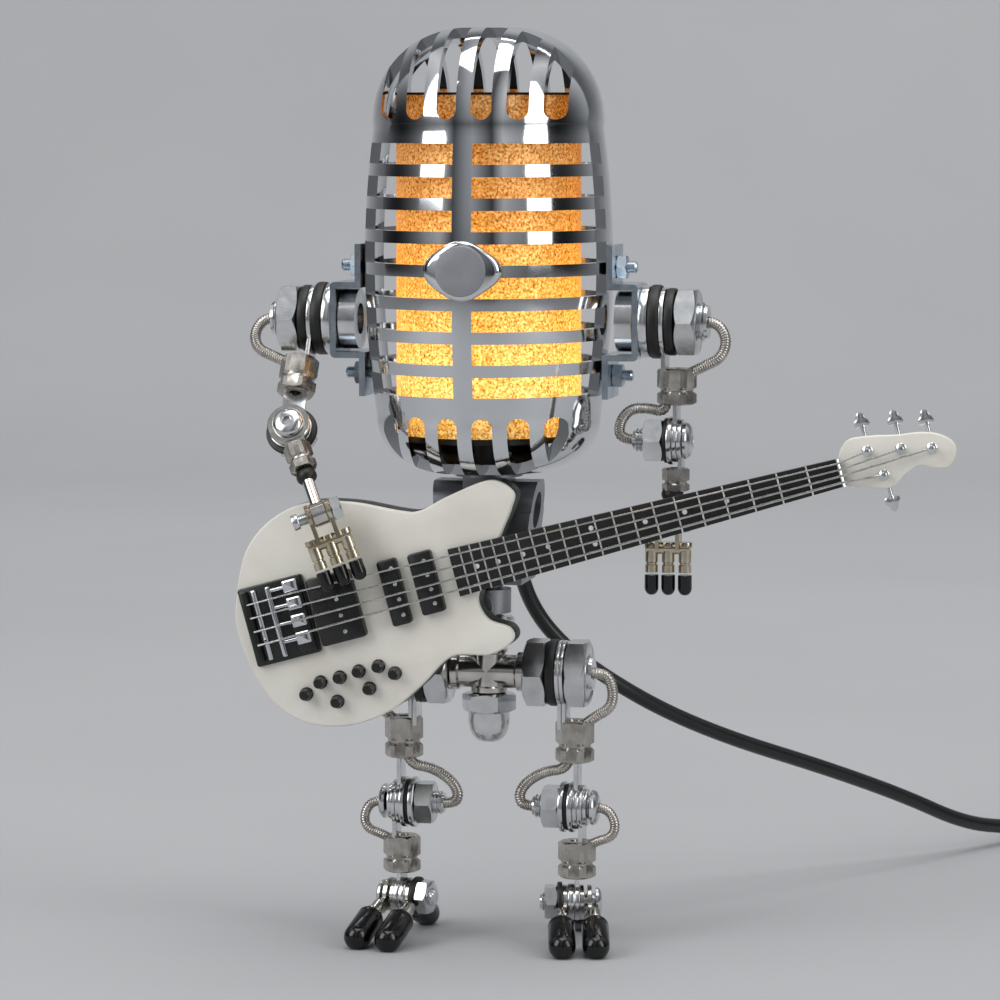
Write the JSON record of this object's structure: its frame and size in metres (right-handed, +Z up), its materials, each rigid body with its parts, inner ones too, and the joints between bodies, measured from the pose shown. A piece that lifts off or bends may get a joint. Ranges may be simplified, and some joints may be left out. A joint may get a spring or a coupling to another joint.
{
  "type": "desk lamp",
  "caption": "Robot figure desk lamp: a slotted microphone shell lit from inside on a body of pipe fittings, with bolted arms and legs, a small bass guitar and a low voltage cord.",
  "frame": {"origin": "on the surface the toes stand on, under the middle of the box round the figure and its guitar", "axes": "+Z up; the figure faces -Y, so its left side is +X"},
  "size_m": [0.2735, 0.277, 0.23],
  "materials": {
    "chrome_shell": "polished chrome plate on die-cast zinc",
    "satin_steel": "satin",
    "amber_film": "speckled amber film, lit from inside",
    "holder_black": "moulded",
    "bulb_glass": "opal",
    "blue_zinc": "blue zinc plate",
    "bright_zinc": "bright zinc plate",
    "nickel_brass": "bright nickel plate",
    "spring_steel": "close wound spring jacket",
    "cast_grey": "satin cast",
    "black_oxide": "black oxide",
    "black_rubber": "glossy moulded",
    "white_lacquer": "satin white lacquer",
    "black_lacquer": "black lacquer",
    "fret_wire": "drawn nickel silver",
    "black_chrome": "dark chrome with bright edges",
    "black_abs": "moulded",
    "cord_pvc": "soft glossy jacket"
  },
  "bodies": {
    "trunk": {"swivel_block": "cast_grey", "swivel_pin": "bright_zinc", "tee": "nickel_brass", "stem_and_nuts": "nickel_brass", "hip_hardware": "bright_zinc", "hip_rubbers": "black_rubber", "guitar_body": "white_lacquer", "guitar_neck": "black_lacquer", "fingerboard": "black_lacquer", "frets": "fret_wire", "bridge": "black_chrome", "pickups_and_knobs": "black_abs", "strings": "fret_wire", "tuners": "bright_zinc", "guitar_bracket": "blue_zinc", "strain_relief": "cord_pvc", "cord_lead": "cord_pvc", "cord_coil": "cord_pvc", "cord_tie": "black_abs", "cord_plug": "black_abs", "switch_case": "black_abs"},
    "head": {"front_shell": "chrome_shell", "rear_shell": "chrome_shell", "badge": "satin_steel", "light_sleeve": "amber_film", "lamp_holder": "holder_black", "led_bulb": "bulb_glass", "head_tongue": "nickel_brass", "shoulder_brackets": "blue_zinc", "shoulder_hardware": "bright_zinc", "shoulder_rubbers": "black_rubber"},
    "switch_rocker": {"switch_rocker": "black_abs"},
    "left_upper_arm": {"left_upper_arm": "nickel_brass", "left_upper_arm_hose": "spring_steel", "left_elbow_hardware": "bright_zinc"},
    "left_forearm": {"left_forearm": "nickel_brass", "left_wrist_hardware": "black_oxide"},
    "left_hand": {"left_hand": "nickel_brass"},
    "left_thigh": {"left_thigh": "nickel_brass", "left_thigh_hose": "spring_steel", "left_knee_hardware": "bright_zinc"},
    "left_shin": {"left_shin": "nickel_brass", "left_shin_hose": "spring_steel", "left_ankle_hardware": "bright_zinc"},
    "left_foot": {"left_foot": "nickel_brass", "left_toe_caps": "black_rubber"},
    "right_upper_arm": {"right_upper_arm": "nickel_brass", "right_upper_arm_hose": "spring_steel", "right_elbow_hardware": "bright_zinc"},
    "right_forearm": {"right_forearm": "nickel_brass", "right_wrist_hardware": "black_oxide"},
    "right_hand": {"right_hand": "nickel_brass"},
    "right_thigh": {"right_thigh": "nickel_brass", "right_thigh_hose": "spring_steel", "right_knee_hardware": "bright_zinc"},
    "right_shin": {"right_shin": "nickel_brass", "right_shin_hose": "spring_steel", "right_ankle_hardware": "bright_zinc"},
    "right_foot": {"right_foot": "nickel_brass", "right_toe_caps": "black_rubber"}
  },
  "joints": [
    {"name": "head_tilt", "type": "hinge", "parent": "trunk", "child": "head", "pos_m": [-0.02961, 0.0008, 0.11], "axis": [-1, 0, 0], "range_deg": [0, 12]},
    {"name": "right_shoulder", "type": "hinge", "parent": "head", "child": "right_upper_arm", "pos_m": [-0.07421, 0.0008, 0.1575], "axis": [-1, 0, 0], "range_deg": [0, 50]},
    {"name": "right_elbow", "type": "hinge", "parent": "right_upper_arm", "child": "right_forearm", "pos_m": [-0.07661, -0.01789, 0.13203], "axis": [0, 0.848, -0.5299], "range_deg": [0, 60]},
    {"name": "right_wrist", "type": "hinge", "parent": "right_forearm", "child": "right_hand", "pos_m": [-0.06563, -0.03096, 0.11111], "axis": [-0.9135, -0.2155, -0.3449], "range_deg": [0, 35]},
    {"name": "left_shoulder", "type": "hinge", "parent": "head", "child": "left_upper_arm", "pos_m": [0.01499, 0.0008, 0.1575], "axis": [1, 0, 0], "range_deg": [0, 50]},
    {"name": "left_elbow", "type": "hinge", "parent": "left_upper_arm", "child": "left_forearm", "pos_m": [0.01839, 0.0008, 0.128], "axis": [1, 0, 0], "range_deg": [0, 60]},
    {"name": "left_wrist", "type": "hinge", "parent": "left_forearm", "child": "left_hand", "pos_m": [0.01599, 0.0008, 0.108], "axis": [1, 0, 0], "range_deg": [0, 40]},
    {"name": "left_hip", "type": "hinge", "parent": "trunk", "child": "left_thigh", "pos_m": [-0.01101, 0.0008, 0.069], "axis": [-1, 0, 0], "range_deg": [-8, 12]},
    {"name": "left_knee", "type": "hinge", "parent": "left_thigh", "child": "left_shin", "pos_m": [-0.00571, 0.0008, 0.035], "axis": [1, 0, 0], "range_deg": [0, 30]},
    {"name": "left_ankle", "type": "hinge", "parent": "left_shin", "child": "left_foot", "pos_m": [-0.00701, 0.0008, 0.01088], "axis": [0.9781, 0.2079, 0], "range_deg": [-12, 12]},
    {"name": "right_hip", "type": "hinge", "parent": "trunk", "child": "right_thigh", "pos_m": [-0.04821, 0.0008, 0.069], "axis": [-1, 0, 0], "range_deg": [-8, 12]},
    {"name": "right_knee", "type": "hinge", "parent": "right_thigh", "child": "right_shin", "pos_m": [-0.05351, 0.0008, 0.035], "axis": [1, 0, 0], "range_deg": [0, 30]},
    {"name": "right_ankle", "type": "hinge", "parent": "right_shin", "child": "right_foot", "pos_m": [-0.05221, 0.0008, 0.01088], "axis": [0.9781, -0.2079, 0], "range_deg": [-12, 12]},
    {"name": "switch_rock", "type": "hinge", "parent": "trunk", "child": "switch_rocker", "pos_m": [0.10701, 0.19348, 0.0074], "axis": [-0.8137, 0.5812, 0], "range_deg": [-16, 0]}
  ]
}
